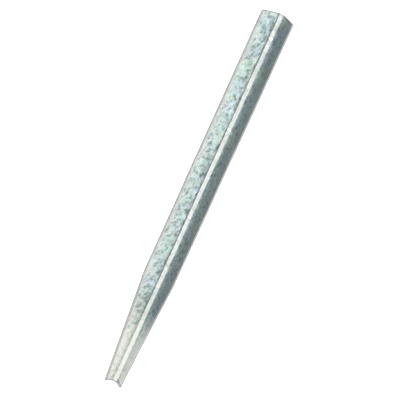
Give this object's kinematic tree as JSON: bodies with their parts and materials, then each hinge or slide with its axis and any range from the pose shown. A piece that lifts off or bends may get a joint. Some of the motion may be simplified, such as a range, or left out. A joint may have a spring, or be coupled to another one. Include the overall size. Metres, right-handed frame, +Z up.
{
  "type": "post anchor spike",
  "caption": "Ground spike folded from galvanised sheet steel: an open trough with a flat punched web and two legs that taper to a blunt driving tip.",
  "frame": {"origin": "at the foot of the driving tip, under the middle of the trough section's box: X = 0 is the plane of symmetry and Y = 0 is half-way through the trough's depth", "axes": "+Z runs up the spike from the driving tip to the head, X runs across the trough, and the trough opens towards -Y, so +Y points out of the back of the web"},
  "size_m": [0.0494, 0.0256, 0.61],
  "materials": {
    "galvanised_steel": "galvanised, with a fine pale spangle and dull sheared edges"
  },
  "bodies": {
    "root": {"anchor_spike": "galvanised_steel"}
  },
  "joints": []
}
